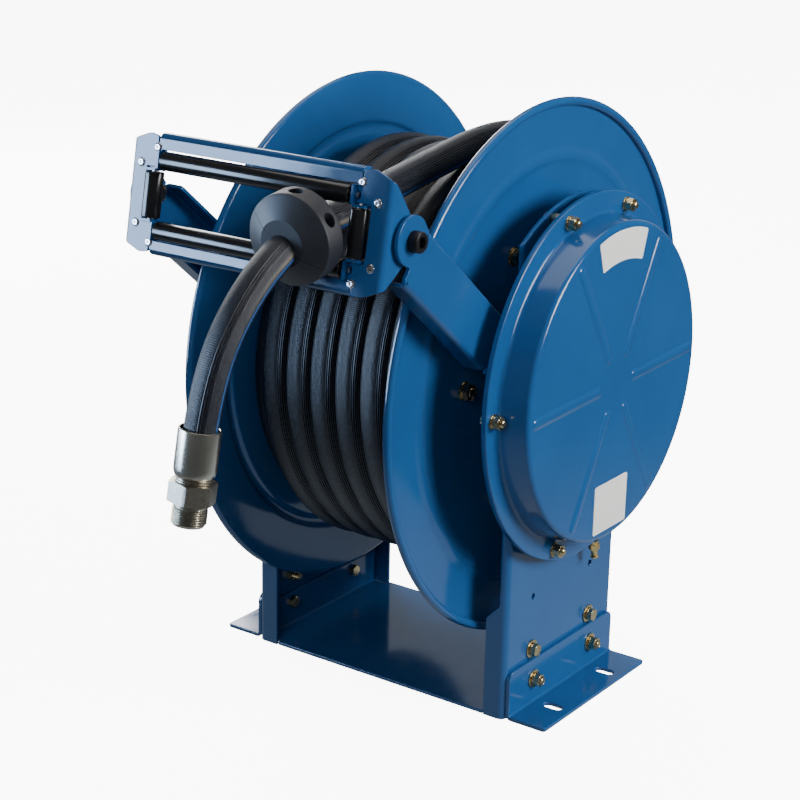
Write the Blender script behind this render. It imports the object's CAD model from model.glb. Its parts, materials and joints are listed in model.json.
import bpy, bmesh, json
import numpy as np
from math import sin, cos, tan, pi, radians, sqrt, atan2, hypot
from mathutils import Vector, Matrix

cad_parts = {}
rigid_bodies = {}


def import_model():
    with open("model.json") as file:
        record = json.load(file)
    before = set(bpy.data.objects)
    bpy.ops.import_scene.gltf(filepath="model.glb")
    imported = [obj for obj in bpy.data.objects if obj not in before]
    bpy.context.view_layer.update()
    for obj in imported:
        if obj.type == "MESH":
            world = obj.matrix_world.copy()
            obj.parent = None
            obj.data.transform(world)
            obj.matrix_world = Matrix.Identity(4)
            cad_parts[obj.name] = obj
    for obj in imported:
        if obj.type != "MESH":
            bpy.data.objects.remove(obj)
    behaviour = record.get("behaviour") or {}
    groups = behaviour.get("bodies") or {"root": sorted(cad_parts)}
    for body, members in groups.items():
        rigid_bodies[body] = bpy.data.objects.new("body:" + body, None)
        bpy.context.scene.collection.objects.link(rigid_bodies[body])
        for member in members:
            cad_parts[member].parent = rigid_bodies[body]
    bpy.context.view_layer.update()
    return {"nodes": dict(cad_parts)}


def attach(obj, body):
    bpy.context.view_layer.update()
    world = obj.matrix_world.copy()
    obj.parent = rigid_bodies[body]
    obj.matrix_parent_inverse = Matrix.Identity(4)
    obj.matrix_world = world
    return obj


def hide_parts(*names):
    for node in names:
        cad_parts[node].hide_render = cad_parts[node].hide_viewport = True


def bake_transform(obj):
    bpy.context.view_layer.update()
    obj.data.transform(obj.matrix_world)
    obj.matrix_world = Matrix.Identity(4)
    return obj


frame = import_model()
mm = 0.001
AY, AZ = 5.5, 362.3
scene = bpy.context.scene
coll = scene.collection

# ------------------------------------------------------------------ camera, at the photograph's view
cr, sr = cos(radians(1.19)), sin(radians(1.19))
az = radians(35.28)
right = Vector((cos(az), sin(az), 0.0))
back = Vector((0.549, -0.776, 0.312)).normalized()
up = back.cross(right).normalized()
right = up.cross(back).normalized()
r2, u2 = cr * right + sr * up, -sr * right + cr * up
cam_data = bpy.data.cameras.new("camera")
cam = bpy.data.objects.new("camera", cam_data)
coll.objects.link(cam)
cam.matrix_world = Matrix.Translation((1.2086, -1.7848, 1.0061)) @ Matrix((r2, u2, back)).transposed().to_4x4()
cam_data.lens, cam_data.sensor_width = 91.34, 36.0
cam_data.clip_start, cam_data.clip_end = 0.1, 50.0
scene.camera = cam


# ------------------------------------------------------------------ materials
def nodes_of(name):
    m = bpy.data.materials.new(name)
    m.use_nodes = True
    nt = m.node_tree
    b = nt.nodes["Principled BSDF"]
    return m, nt, b


def add(nt, kind, **values):
    n = nt.nodes.new(kind)
    for k, v in values.items():
        if k in n.inputs:
            n.inputs[k].default_value = v
        else:
            setattr(n, k, v)
    return n


def ramp(nt, src, stops):
    r = add(nt, "ShaderNodeValToRGB")
    e = r.color_ramp.elements
    while len(e) < len(stops):
        e.new(0.5)
    for el, (pos, col) in zip(e, stops):
        el.position = pos
        el.color = (*col, 1.0) if len(col) == 3 else col
    nt.links.new(src, r.inputs[0])
    return r


def coords(nt, kind="Object", scale=(1, 1, 1)):
    tc = add(nt, "ShaderNodeTexCoord")
    mp = add(nt, "ShaderNodeMapping")
    mp.inputs["Scale"].default_value = scale
    nt.links.new(tc.outputs[kind], mp.inputs[0])
    return mp.outputs[0]


def bump(nt, b, height, strength, distance, prev=None):
    bp = add(nt, "ShaderNodeBump")
    bp.inputs["Strength"].default_value = strength
    bp.inputs["Distance"].default_value = distance
    nt.links.new(height, bp.inputs["Height"])
    if prev is not None:
        nt.links.new(prev, bp.inputs["Normal"])
    nt.links.new(bp.outputs[0], b.inputs["Normal"])
    return bp.outputs[0]


def enamel(name, base, dark, rough=0.24, coat=0.5, peel=0.10):
    """stoved gloss enamel over pressed steel: orange peel, slow colour drift, dust in the sheen"""
    m, nt, b = nodes_of(name)
    co = coords(nt)
    n1 = add(nt, "ShaderNodeTexNoise", Scale=9.0, Detail=4.0, Roughness=0.55)
    nt.links.new(co, n1.inputs["Vector"])
    rc = ramp(nt, n1.outputs["Fac"], [(0.30, dark), (0.70, base)])
    nt.links.new(rc.outputs[0], b.inputs["Base Color"])
    n2 = add(nt, "ShaderNodeTexNoise", Scale=55.0, Detail=3.0, Roughness=0.6)
    nt.links.new(co, n2.inputs["Vector"])
    rr = add(nt, "ShaderNodeMapRange")
    rr.inputs["To Min"].default_value, rr.inputs["To Max"].default_value = rough - 0.05, rough + 0.07
    nt.links.new(n2.outputs["Fac"], rr.inputs["Value"])
    nt.links.new(rr.outputs[0], b.inputs["Roughness"])
    n3 = add(nt, "ShaderNodeTexNoise", Scale=420.0, Detail=2.0, Roughness=0.5)
    nt.links.new(co, n3.inputs["Vector"])
    n4 = add(nt, "ShaderNodeTexNoise", Scale=28.0, Detail=2.0, Roughness=0.5)
    nt.links.new(co, n4.inputs["Vector"])
    p = bump(nt, b, n4.outputs["Fac"], 0.05, 0.002)
    bump(nt, b, n3.outputs["Fac"], peel, 0.00025, p)
    if coat:
        b.inputs["Coat Weight"].default_value = coat
        b.inputs["Coat Roughness"].default_value = 0.08
    b.inputs["Specular IOR Level"].default_value = 0.5
    return m


def metal(name, base, var, rough=0.3, scale=60.0, stretch=(1, 1, 1), bumpy=0.05, metallic=1.0, spread=1.0):
    m, nt, b = nodes_of(name)
    co = coords(nt, scale=stretch)
    n1 = add(nt, "ShaderNodeTexNoise", Scale=scale, Detail=5.0, Roughness=0.6)
    nt.links.new(co, n1.inputs["Vector"])
    rc = ramp(nt, n1.outputs["Fac"], [(0.28, var), (0.72, base)])
    nt.links.new(rc.outputs[0], b.inputs["Base Color"])
    n2 = add(nt, "ShaderNodeTexNoise", Scale=scale * 5, Detail=3.0, Roughness=0.6)
    nt.links.new(co, n2.inputs["Vector"])
    rr = add(nt, "ShaderNodeMapRange")
    rr.inputs["To Min"].default_value, rr.inputs["To Max"].default_value = max(0.05, rough - 0.09 * spread), rough + 0.12 * spread
    nt.links.new(n2.outputs["Fac"], rr.inputs["Value"])
    nt.links.new(rr.outputs[0], b.inputs["Roughness"])
    b.inputs["Metallic"].default_value = metallic
    bump(nt, b, n2.outputs["Fac"], bumpy, 0.0002)
    return m


def rubber(name, base, light, rough, scale=350.0, strength=0.25, dist=0.0002, sheen=0.0):
    m, nt, b = nodes_of(name)
    co = coords(nt)
    n1 = add(nt, "ShaderNodeTexNoise", Scale=30.0, Detail=5.0, Roughness=0.65)
    nt.links.new(co, n1.inputs["Vector"])
    rc = ramp(nt, n1.outputs["Fac"], [(0.3, base), (0.75, light)])
    nt.links.new(rc.outputs[0], b.inputs["Base Color"])
    n2 = add(nt, "ShaderNodeTexNoise", Scale=scale, Detail=4.0, Roughness=0.6)
    nt.links.new(co, n2.inputs["Vector"])
    rr = add(nt, "ShaderNodeMapRange")
    rr.inputs["To Min"].default_value, rr.inputs["To Max"].default_value = rough - 0.08, rough + 0.1
    nt.links.new(n1.outputs["Fac"], rr.inputs["Value"])
    nt.links.new(rr.outputs[0], b.inputs["Roughness"])
    bump(nt, b, n2.outputs["Fac"], strength, dist)
    if sheen:
        b.inputs["Sheen Weight"].default_value = sheen
        b.inputs["Sheen Roughness"].default_value = 0.4
    return m


def hose_material():
    """extruded rubber cover: fine ribs along part of it, a woven wrap mark on the rest, one blue line"""
    m, nt, b = nodes_of("hose_cover")
    tc = add(nt, "ShaderNodeUVMap")
    tc.uv_map = "hose"
    sep = add(nt, "ShaderNodeSeparateXYZ")
    nt.links.new(tc.outputs[0], sep.inputs[0])
    U, V = sep.outputs[0], sep.outputs[1]          # u: 0..1 round the hose, v: metres along it

    def math(op, a, c=None):
        n = add(nt, "ShaderNodeMath", operation=op)
        for i, x in enumerate((a, c)):
            if x is None:
                continue
            if isinstance(x, (int, float)):
                n.inputs[i].default_value = x
            else:
                nt.links.new(x, n.inputs[i])
        return n.outputs[0]

    def around(x, c, w, soft):
        """1 inside the band of half width w round u = c, soft at its edges"""
        d = math("ABSOLUTE", math("SUBTRACT", x, c))
        mr = add(nt, "ShaderNodeMapRange", clamp=True)
        mr.inputs["From Min"].default_value, mr.inputs["From Max"].default_value = w - soft, w + soft
        mr.inputs["To Min"].default_value, mr.inputs["To Max"].default_value = 1.0, 0.0
        nt.links.new(d, mr.inputs["Value"])
        return mr.outputs[0]

    blue = around(U, 0.673, 0.0125, 0.003)
    fade = add(nt, "ShaderNodeMapRange", clamp=True)
    fade.inputs["From Min"].default_value, fade.inputs["From Max"].default_value = 16.06, 16.20
    fade.inputs["To Min"].default_value, fade.inputs["To Max"].default_value = 1.0, 0.0
    nt.links.new(V, fade.inputs["Value"])
    past = add(nt, "ShaderNodeMapRange", clamp=True)
    past.inputs["From Min"].default_value, past.inputs["From Max"].default_value = 16.00, 16.04
    nt.links.new(V, past.inputs["Value"])
    before = math("SUBTRACT", 1.0, past.outputs[0])
    tan_band = math("MULTIPLY", math("MULTIPLY", around(U, 0.722, 0.022, 0.014), fade.outputs[0]), past.outputs[0])
    grooves_zone = math("MAXIMUM", math("MULTIPLY", around(U, 0.832, 0.066, 0.008), before), math("MULTIPLY", around(U, 0.848, 0.034, 0.006), past.outputs[0]))
    ribs = math("SINE", math("MULTIPLY", U, 2 * pi * 46))
    ribs_h = math("MULTIPLY", ribs, grooves_zone)
    # woven wrap mark: two crossing diagonal waves
    k1 = math("ADD", math("MULTIPLY", U, 2 * pi * 40), math("MULTIPLY", V, 2 * pi * 260))
    k2 = math("SUBTRACT", math("MULTIPLY", U, 2 * pi * 40), math("MULTIPLY", V, 2 * pi * 260))
    weave = math("MULTIPLY", math("SINE", k1), math("SINE", k2))
    inv = math("SUBTRACT", 1.0, grooves_zone)
    weave_h = math("MULTIPLY", math("MULTIPLY", weave, inv), 0.28)
    co = coords(nt)
    n1 = add(nt, "ShaderNodeTexNoise", Scale=26.0, Detail=5.0, Roughness=0.6)
    nt.links.new(co, n1.inputs["Vector"])
    n2 = add(nt, "ShaderNodeTexNoise", Scale=700.0, Detail=3.0, Roughness=0.6)
    nt.links.new(co, n2.inputs["Vector"])
    hsum = math("ADD", math("ADD", ribs_h, weave_h), math("MULTIPLY", n2.outputs["Fac"], 0.5))
    bump(nt, b, hsum, 0.9, 0.0006)
    base = ramp(nt, n1.outputs["Fac"], [(0.3, (0.006, 0.008, 0.015)), (0.72, (0.011, 0.015, 0.027))])
    mix = add(nt, "ShaderNodeMix", data_type="RGBA")
    nt.links.new(blue, mix.inputs["Factor"])
    pale = add(nt, "ShaderNodeMix", data_type="RGBA")
    nt.links.new(math("MULTIPLY", tan_band, 0.85), pale.inputs["Factor"])
    nt.links.new(base.outputs[0], pale.inputs["A"])
    pale.inputs["B"].default_value = (0.27, 0.24, 0.185, 1)
    nt.links.new(pale.outputs["Result"], mix.inputs["A"])
    mix.inputs["B"].default_value = (0.02, 0.11, 0.38, 1)
    dark = add(nt, "ShaderNodeMix", data_type="RGBA", blend_type="MULTIPLY")
    dr = add(nt, "ShaderNodeMapRange")
    dr.inputs["From Min"].default_value, dr.inputs["From Max"].default_value = -1.0, 0.2
    dr.inputs["To Min"].default_value, dr.inputs["To Max"].default_value = 0.30, 1.0
    nt.links.new(ribs_h, dr.inputs["Value"])
    dark.inputs["Factor"].default_value = 1.0
    nt.links.new(mix.outputs["Result"], dark.inputs["A"])
    nt.links.new(dr.outputs[0], dark.inputs["B"])
    nt.links.new(dark.outputs["Result"], b.inputs["Base Color"])
    rr = add(nt, "ShaderNodeMapRange")
    rr.inputs["To Min"].default_value, rr.inputs["To Max"].default_value = 0.30, 0.42
    nt.links.new(n1.outputs["Fac"], rr.inputs["Value"])
    nt.links.new(rr.outputs[0], b.inputs["Roughness"])
    b.inputs["Specular IOR Level"].default_value = 0.5
    return m


MAT = {}
MAT["blue"] = enamel("blue_enamel", (0.016, 0.096, 0.280), (0.013, 0.083, 0.250), rough=0.11, coat=0.0, peel=0.04)
MAT["zinc"] = metal("zinc_yellow", (0.66, 0.54, 0.29), (0.46, 0.36, 0.20), 0.24, 110.0)
MAT["steel"] = metal("bright_steel", (0.62, 0.62, 0.64), (0.50, 0.50, 0.53), 0.30, 60.0, (1, 1, 1))
MAT["grey_steel"] = metal("grey_steel", (0.34, 0.36, 0.40), (0.24, 0.26, 0.30), 0.38, 60.0)
MAT["nickel"] = metal("plated_ferrule", (0.64, 0.60, 0.51), (0.58, 0.54, 0.45), 0.24, 45.0, (1, 1, 1), 0.02, 1.0, 0.3)
MAT["cast_brass"] = metal("forged_fitting", (0.50, 0.46, 0.38), (0.36, 0.33, 0.27), 0.30, 320.0, (1, 1, 1), 0.35)
MAT["rivet"] = metal("rivet_steel", (0.80, 0.80, 0.82), (0.70, 0.70, 0.72), 0.24, 90.0)
MAT["black_screw"] = metal("black_screw", (0.030, 0.030, 0.034), (0.018, 0.018, 0.020), 0.34, 80.0, bumpy=0.1, metallic=0.7)
MAT["brass"] = metal("brass", (0.78, 0.57, 0.25), (0.62, 0.43, 0.17), 0.28, 70.0)
MAT["bronze"] = metal("bearing_bronze", (0.50, 0.32, 0.14), (0.38, 0.24, 0.10), 0.38, 70.0)
MAT["iron"] = metal("cast_housing", (0.055, 0.065, 0.085), (0.035, 0.042, 0.058), 0.5, 140.0, bumpy=0.5, metallic=0.3)
MAT["spring"] = metal("spring_steel", (0.16, 0.18, 0.23), (0.10, 0.11, 0.15), 0.35, 50.0)
MAT["roller"] = rubber("black_roller", (0.006, 0.006, 0.008), (0.011, 0.011, 0.013), 0.19, 500.0, 0.05, 0.00006)
MAT["ball"] = rubber("ball_rubber", (0.012, 0.013, 0.018), (0.021, 0.022, 0.030), 0.50, 420.0, 0.22, 0.00022)
MAT["seal"] = rubber("seal_rubber", (0.015, 0.015, 0.015), (0.03, 0.03, 0.03), 0.55)
MAT["plate"] = rubber("blank_plate", (0.90, 0.90, 0.87), (0.94, 0.94, 0.92), 0.38, 260.0, 0.06, 0.0001)
MAT["hose"] = hose_material()


# ------------------------------------------------------------------ mesh helpers (millimetres in, metres out)
def shade(me, angle=32.0):
    me.polygons.foreach_set("use_smooth", [True] * len(me.polygons))
    me.set_sharp_from_angle(angle=radians(angle))


def finish_mesh(name, verts, faces, mat, body, angle=32.0, merge=0.0, normals=True):
    me = bpy.data.meshes.new(name)
    me.from_pydata([tuple(v) for v in (np.asarray(verts, float) * mm)], [], [tuple(f) for f in faces])
    bm = bmesh.new()
    bm.from_mesh(me)
    if merge:
        bmesh.ops.remove_doubles(bm, verts=bm.verts, dist=merge * mm)
    if normals:
        bmesh.ops.recalc_face_normals(bm, faces=bm.faces)
    bm.to_mesh(me)
    bm.free()
    me.materials.append(MAT[mat])
    shade(me, angle)
    o = bpy.data.objects.new(name, me)
    coll.objects.link(o)
    if body:
        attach(o, body)
    return o


def rounded(pts, r, seg=4, closed=True):
    """polygon with its corners rounded; r is one number or one for each corner"""
    n = len(pts)
    out = []
    for i in range(n):
        p = np.array(pts[i], float)
        rr = r[i] if isinstance(r, (list, tuple)) else r
        if (not closed and i in (0, n - 1)) or rr <= 0:
            out.append(tuple(p))
            continue
        a, b = np.array(pts[i - 1], float), np.array(pts[(i + 1) % n], float)
        da, db = a - p, b - p
        la, lb = np.linalg.norm(da), np.linalg.norm(db)
        if la < 1e-9 or lb < 1e-9:
            out.append(tuple(p))
            continue
        da, db = da / la, db / lb
        ang = np.arccos(np.clip(da @ db, -1, 1))
        if ang > pi - 0.02:
            out.append(tuple(p))
            continue
        t = min(rr / tan(ang / 2), 0.49 * la, 0.49 * lb)
        r_eff = t * tan(ang / 2)
        c = p + (da + db) / np.linalg.norm(da + db) * (r_eff / sin(ang / 2))
        s, e = p + da * t, p + db * t
        a0, a1 = atan2(*(s - c)[::-1]), atan2(*(e - c)[::-1])
        d = (a1 - a0 + pi) % (2 * pi) - pi
        for k in range(seg + 1):
            q = a0 + d * k / seg
            out.append((c[0] + r_eff * cos(q), c[1] + r_eff * sin(q)))
    return out


def lathe(name, prof, mat, body, n=128, centre=(0, AY, AZ), angle=32.0, axis=(1, 0, 0), ref=(0, 1, 0)):
    """closed profile (x, r) turned about an axis through centre"""
    ax = np.array(axis, float); ax /= np.linalg.norm(ax)
    e1 = np.array(ref, float); e1 -= ax * (e1 @ ax); e1 /= np.linalg.norm(e1)
    e2 = np.cross(ax, e1)
    c = np.array(centre, float)
    m = len(prof)
    verts, faces = [], []
    for i in range(n):
        a = 2 * pi * i / n
        d = cos(a) * e1 + sin(a) * e2
        for x, r in prof:
            verts.append(c + ax * x + d * r)
    for i in range(n):
        j = (i + 1) % n
        for k in range(m):
            l = (k + 1) % m
            faces.append((i * m + k, i * m + l, j * m + l, j * m + k))
    return finish_mesh(name, verts, faces, mat, body, angle, merge=0.0005 if min(r for _, r in prof) < 1e-6 else 0.0)


class Bag:
    """collects solids into one mesh"""
    def __init__(self):
        self.v, self.f = [], []

    def put(self, verts, faces):
        o = len(self.v)
        self.v += [tuple(p) for p in verts]
        self.f += [tuple(i + o for i in f) for f in faces]

    def lathe(self, prof, centre, axis, n=32, ref=(0.3, 0.9, 0.2)):
        ax = np.array(axis, float); ax /= np.linalg.norm(ax)
        e1 = np.array(ref, float); e1 -= ax * (e1 @ ax); e1 /= np.linalg.norm(e1)
        e2 = np.cross(ax, e1)
        c = np.array(centre, float)
        ring = len(prof)
        v, f = [], []
        poles = [k for k, p in enumerate(prof) if p[1] < 1e-6]
        for i in range(n):
            a = 2 * pi * i / n
            d = cos(a) * e1 + sin(a) * e2
            v += [c + ax * x + d * r for x, r in prof]
        for i in range(n):
            j = (i + 1) % n
            for k in range(ring):
                l = (k + 1) % ring
                ids = [i * ring + k, i * ring + l, j * ring + l, j * ring + k]
                if k in poles and l in poles:
                    continue
                if k in poles:
                    ids = [k, i * ring + l, j * ring + l]
                elif l in poles:
                    ids = [i * ring + k, l, j * ring + k]
                f.append(tuple(ids))
        used = sorted({i for t in f for i in t})
        m = {a: b for b, a in enumerate(used)}
        self.put([v[i] for i in used], [tuple(m[i] for i in t) for t in f])

    def hexa(self, centre, axis, af, h, hole=0.0, turn=0.0, dome=True, both=False):
        """hexagon nut or head standing on centre, h high along axis, with chamfered corners"""
        ax = np.array(axis, float); ax /= np.linalg.norm(ax)
        e1 = np.array((0.31, 0.2, 0.93)); e1 -= ax * (e1 @ ax); e1 /= np.linalg.norm(e1)
        e2 = np.cross(ax, e1)
        c = np.array(centre, float)
        n = 48
        rc = af / 2
        def hexr(a):
            a = (a - radians(turn)) % (pi / 3) - pi / 6
            return rc / cos(a)
        ch = 0.30
        levels = []
        rim = rc * 0.985
        if both:
            levels.append([(0.0, min(hexr(2 * pi * i / n), rim)) for i in range(n)])
            levels.append([(max(0.0, (hexr(2 * pi * i / n) - rim)) * ch + 0.12, hexr(2 * pi * i / n)) for i in range(n)])
        else:
            levels.append([(0.0, hexr(2 * pi * i / n)) for i in range(n)])
        levels.append([(h - max(0.0, (hexr(2 * pi * i / n) - rim)) * ch - 0.12, hexr(2 * pi * i / n)) for i in range(n)])
        levels.append([(h, min(hexr(2 * pi * i / n), rim)) for i in range(n)])
        inner = hole if hole > 0 else rc * 0.35
        if hole > 0:
            levels.append([(h, hole + 0.5)] * n)
            levels.append([(h - 0.5, hole)] * n)
            levels.append([(0.5, hole)] * n)
            levels.append([(0.0, hole + 0.5)] * n)
        else:
            levels.append([(h, inner)] * n)
        v, f = [], []
        for lv in levels:
            for i, (x, r) in enumerate(lv):
                a = 2 * pi * i / n
                v.append(c + ax * x + (cos(a) * e1 + sin(a) * e2) * r)
        L = len(levels)
        for k in range(L if hole > 0 else L - 1):
            kk = (k + 1) % L
            for i in range(n):
                j = (i + 1) % n
                f.append((k * n + i, k * n + j, kk * n + j, kk * n + i))
        if hole <= 0:
            f.append(tuple((L - 1) * n + i for i in range(n)))
            f.append(tuple(i for i in reversed(range(n))))
        self.put(v, f)

    def washer(self, centre, axis, ro, ri, t):
        p = rounded([(0, ri), (0, ro), (t, ro), (t, ri)], min(0.35, t * 0.3), 2)
        self.lathe(p, centre, axis, 40)

    def shank(self, centre, axis, r, length, thread=True, pitch=1.25):
        """threaded end: real ridges, ends chamfered"""
        if not thread:
            self.lathe([(0, 0), (0, r), (length - 0.6, r), (length, r - 0.6), (length, 0)], centre, axis, 24)
            return
        p = [(0, 0), (0, r)]
        k = int(length / pitch)
        for i in range(k):
            x = i * pitch
            p += [(x + pitch * 0.5, r - 0.55), (x + pitch * 0.95, r)]
        p += [(length - 0.5, r - 0.2), (length, r - 0.9), (length, 0)]
        self.lathe(p, centre, axis, 24)

    def make(self, name, mat, body, angle=30.0):
        return finish_mesh(name, self.v, self.f, mat, body, angle)


def sheet(outer, holes, T, bev=0.45, cuts=(), fold=None):
    """flat blank with rounded edges, cut across at each bend so that it can be folded; returns verts, faces in mm"""
    cu = bpy.data.curves.new("blank", "CURVE")
    cu.dimensions, cu.fill_mode = "2D", "BOTH"
    for loop in [outer, *holes]:
        sp = cu.splines.new("POLY")
        sp.points.add(len(loop) - 1)
        for p, (x, y) in zip(sp.points, loop):
            p.co = (x, y, 0, 1)
        sp.use_cyclic_u = True
    cu.extrude, cu.bevel_depth, cu.bevel_resolution, cu.offset = T / 2 - bev, bev, 2, -bev
    ob = bpy.data.objects.new("blank", cu)
    coll.objects.link(ob)
    bpy.context.view_layer.update()
    dg = bpy.context.evaluated_depsgraph_get()
    me = bpy.data.meshes.new_from_object(ob.evaluated_get(dg))
    bpy.data.objects.remove(ob)
    bm = bmesh.new()
    bm.from_mesh(me)
    bmesh.ops.remove_doubles(bm, verts=bm.verts, dist=1e-4)
    for axis, value in cuts:
        co = Vector((value, 0, 0)) if axis == "s" else Vector((0, value, 0))
        no = Vector((1, 0, 0)) if axis == "s" else Vector((0, 1, 0))
        geom = bm.verts[:] + bm.edges[:] + bm.faces[:]
        bmesh.ops.bisect_plane(bm, geom=geom, plane_co=co, plane_no=no, dist=1e-4)
    bm.verts.ensure_lookup_table()
    v = [fold(*p.co) if fold else tuple(p.co) for p in bm.verts]
    idx = {p: i for i, p in enumerate(bm.verts)}
    f = [tuple(idx[q] for q in face.verts) for face in bm.faces]
    bm.free()
    return v, f


def circle(cx, cy, r, n=40):
    return [(cx + r * cos(2 * pi * i / n), cy + r * sin(2 * pi * i / n)) for i in range(n)]


def slot_loop(cx, cy, L, W, n=14):
    a = (L - W) / 2
    return [(cx + a + W / 2 * cos(t), cy + W / 2 * sin(t)) for t in np.linspace(-pi / 2, pi / 2, n)] + \
           [(cx - a + W / 2 * cos(t), cy + W / 2 * sin(t)) for t in np.linspace(pi / 2, 3 * pi / 2, n)]


def mirror_x(v, f):
    return [(-x, y, z) for x, y, z in v], [tuple(reversed(t)) for t in f]


def polar(r, ang):
    return AY + r * cos(radians(ang)), AZ + r * sin(radians(ang))


# ------------------------------------------------------------------ the hose: one route, split where it leaves the drum
DELTA = 22.5
K = 1.0 / 0.9809
route = []
TH_END = 2160 + 95.6
th = TH_END - DELTA / 2


def coil_state(T):
    """radius and x of the wound hose at winding angle T (degrees)"""
    if T < -180:
        t = (T + 2314) / (2314 - 180)
        r = 150 + 30.5 * min(1.0, max(0.0, (T + 2314) / 50.0))
        x = 86 + 20 * min(1.0, max(0.0, (T + 2314) / 120.0))
        if T > -2200:
            x = 106 - (106 + 101.0) * (T + 2200) / (2200 - 180)
        return r, x
    if T < 180:
        f = (T + 180) / 360.0
        return 180.5 + 30.7 * min(1.0, f * 2.2), -101 + 35 * f
    if T < 1980:
        return 211.2, -66 + 31.8 * (T - 180) / 360.0
    f = (T - 1980) / (TH_END - 1980)
    g = min(1.0, max(0.0, (T - 2040) / 75.0))
    return 211.2 + 29.8 * g, 93 + 4 * min(1.0, (T - 1980) / 60.0) - 50 * max(0.0, (T - 2070) / (TH_END - 2070)) ** 1.0


T = th
angles = []
while T > -2314:
    angles.append(T)
    T -= DELTA
angles.reverse()
start_r, start_x = 147.0, 86.0
y0, z0 = polar(start_r, -2314)
route.append((start_x, y0, z0))
for T in angles:
    r, x = coil_state(T)
    yy, zz = polar(r * K, T)
    route.append((x, yy, zz))
N_COIL = len(route)
route += [(61.5, -152.0, 587.8), (76.9, -293.9, 575.0), (81.6, -373.0, 565.5), (78.0, -438.5, 519.5), (72.0, -479.0, 449.5), (67.0, -489.0, 371.0)]

cu = bpy.data.curves.new("hose_line", "CURVE")
cu.dimensions = "3D"
cu.resolution_u = 16
sp = cu.splines.new("NURBS")
sp.points.add(len(route) - 1)
for p, c in zip(sp.points, route):
    p.co = (c[0] * mm, c[1] * mm, c[2] * mm, 1)
sp.order_u = 3
sp.use_endpoint_u = True
ob = bpy.data.objects.new("hose_line", cu)
coll.objects.link(ob)
bpy.context.view_layer.update()
line = bpy.data.meshes.new_from_object(ob.evaluated_get(bpy.context.evaluated_depsgraph_get()))
P = np.array([v.co for v in line.vertices])
bpy.data.objects.remove(ob)
keep = [0]
for i in range(1, len(P)):
    if np.linalg.norm(P[i] - P[keep[-1]]) > 0.0008:
        keep.append(i)
P = P[keep]
# where the hose leaves the drum: nearest to the tangent point
tang = np.array([47.0, -18.0, 602.1]) * mm
split = int(np.argmin(np.linalg.norm(P - tang, axis=1)))
HOSE_R = 0.016
tan_v = np.gradient(P, axis=0)
tan_v /= np.linalg.norm(tan_v, axis=1)[:, None]
# ring frames: on the drum the first direction points away from the axis; beyond it, it is carried along the line
rad = P - np.array([0, AY, AZ]) * mm
rad[:, 0] = 0
n1 = np.zeros_like(P)
for i in range(len(P)):
    if i <= split:
        d = rad[i]
    else:
        d = n1[i - 1]
    d = d - tan_v[i] * (d @ tan_v[i])
    n1[i] = d / np.linalg.norm(d)
n2 = np.cross(tan_v, n1)
arc = np.concatenate([[0], np.cumsum(np.linalg.norm(np.diff(P, axis=0), axis=1))])


def twist(i):
    """turn of the cover's pattern round the hose, in turns"""
    return 0.04 * min(1.0, max(0.0, (arc[i] - arc[split] - 0.26) / 0.09))


def rib_height(u, v):
    """fine ribs moulded along one side of the cover, mm; the band of them is narrower past the guide"""
    u = u % 1.0
    past = min(1.0, max(0.0, (v - 16.00) / 0.04))
    zone = max((1 - past) * min(1.0, max(0.0, (0.066 - abs(u - 0.832)) / 0.010)), past * min(1.0, max(0.0, (0.034 - abs(u - 0.848)) / 0.008)))
    return 0.16 * zone * cos(2 * pi * 46 * u)


def tube_mesh(name, i0, i1, seg, body, cap0=True, cap1=True, ribs=False):
    rings = range(i0, i1 + 1)
    verts = []
    for i in rings:
        for k in range(seg):
            a = 2 * pi * k / seg
            rr = HOSE_R + (rib_height(k / seg - twist(i), arc[i]) * mm if ribs else 0.0)
            verts.append((P[i] + rr * (cos(a) * n1[i] + sin(a) * n2[i])) / mm)
    faces, uvs = [], []
    R = len(rings)
    for r in range(R - 1):
        for k in range(seg):
            j = (k + 1) % seg
            faces.append((r * seg + k, r * seg + j, (r + 1) * seg + j, (r + 1) * seg + k))
            ua, ub, sh = k / seg - twist(i0 + r), k / seg - twist(i0 + r + 1), 1.0 if k / seg < 0.25 and i0 >= split else 0.0
            uvs.append(((ua + sh, arc[i0 + r]), (ua + sh + 1 / seg, arc[i0 + r]), (ub + sh + 1 / seg, arc[i0 + r + 1]), (ub + sh, arc[i0 + r + 1])))
    if cap0:
        faces.append(tuple(reversed(range(seg))))
        uvs.append(tuple((k / seg, arc[i0]) for k in reversed(range(seg))))
    if cap1:
        faces.append(tuple((R - 1) * seg + k for k in range(seg)))
        uvs.append(tuple((k / seg, arc[i1]) for k in range(seg)))
    o = finish_mesh(name, verts, faces, "hose", None, 60.0, normals=False)
    layer = o.data.uv_layers.new(name="hose")
    li = 0
    for poly, uv in zip(o.data.polygons, uvs):
        for q, w in zip(poly.loop_indices, uv):
            layer.data[q].uv = w
    if body:
        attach(o, body)
    return o


coil = tube_mesh("hose_on_drum", 0, split, 40, "drum")
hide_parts("hose_coil")
run = tube_mesh("hose_run", split, len(P) - 1, 276, None, ribs=True)
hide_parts("hose_lead", "hose_free_end")
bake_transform(run)

# ------------------------------------------------------------------ roller guide
GT = np.array([0, 0.17888, 0.98387]); GN = np.array([0, -0.98387, 0.17888])
G0 = np.array([0, -293.8, 562.6]) + GN * 34.1


def gp(x, t, out):
    return tuple(G0 + np.array([x, 0, 0]) + GT * t + GN * out)


TM = 2.5
GB = 54.0
R5 = 5.0
ARC5 = R5 * pi / 2


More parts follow.
